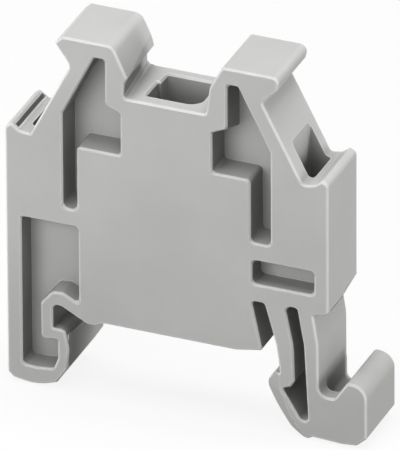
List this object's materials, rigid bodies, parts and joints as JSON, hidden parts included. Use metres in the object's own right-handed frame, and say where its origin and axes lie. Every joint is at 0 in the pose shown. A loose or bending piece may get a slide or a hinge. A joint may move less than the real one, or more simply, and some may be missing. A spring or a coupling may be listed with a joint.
{
  "type": "din rail end stop",
  "caption": "One-piece plastic end stop that clips across a 35 mm rail with a fixed hook and a sprung latch, with two towers for labels.",
  "frame": {"origin": "middle of the seat on the rail, halfway through the thickness of the part", "axes": "+Z away from the rail, +Y along the rail towards the back face, +X across the rail towards the sprung latch"},
  "size_m": [0.0559, 0.0112, 0.0582],
  "materials": {
    "grey_plastic": "satin moulded, light grey"
  },
  "bodies": {
    "root": {"end_stop_body": "grey_plastic"}
  },
  "joints": []
}
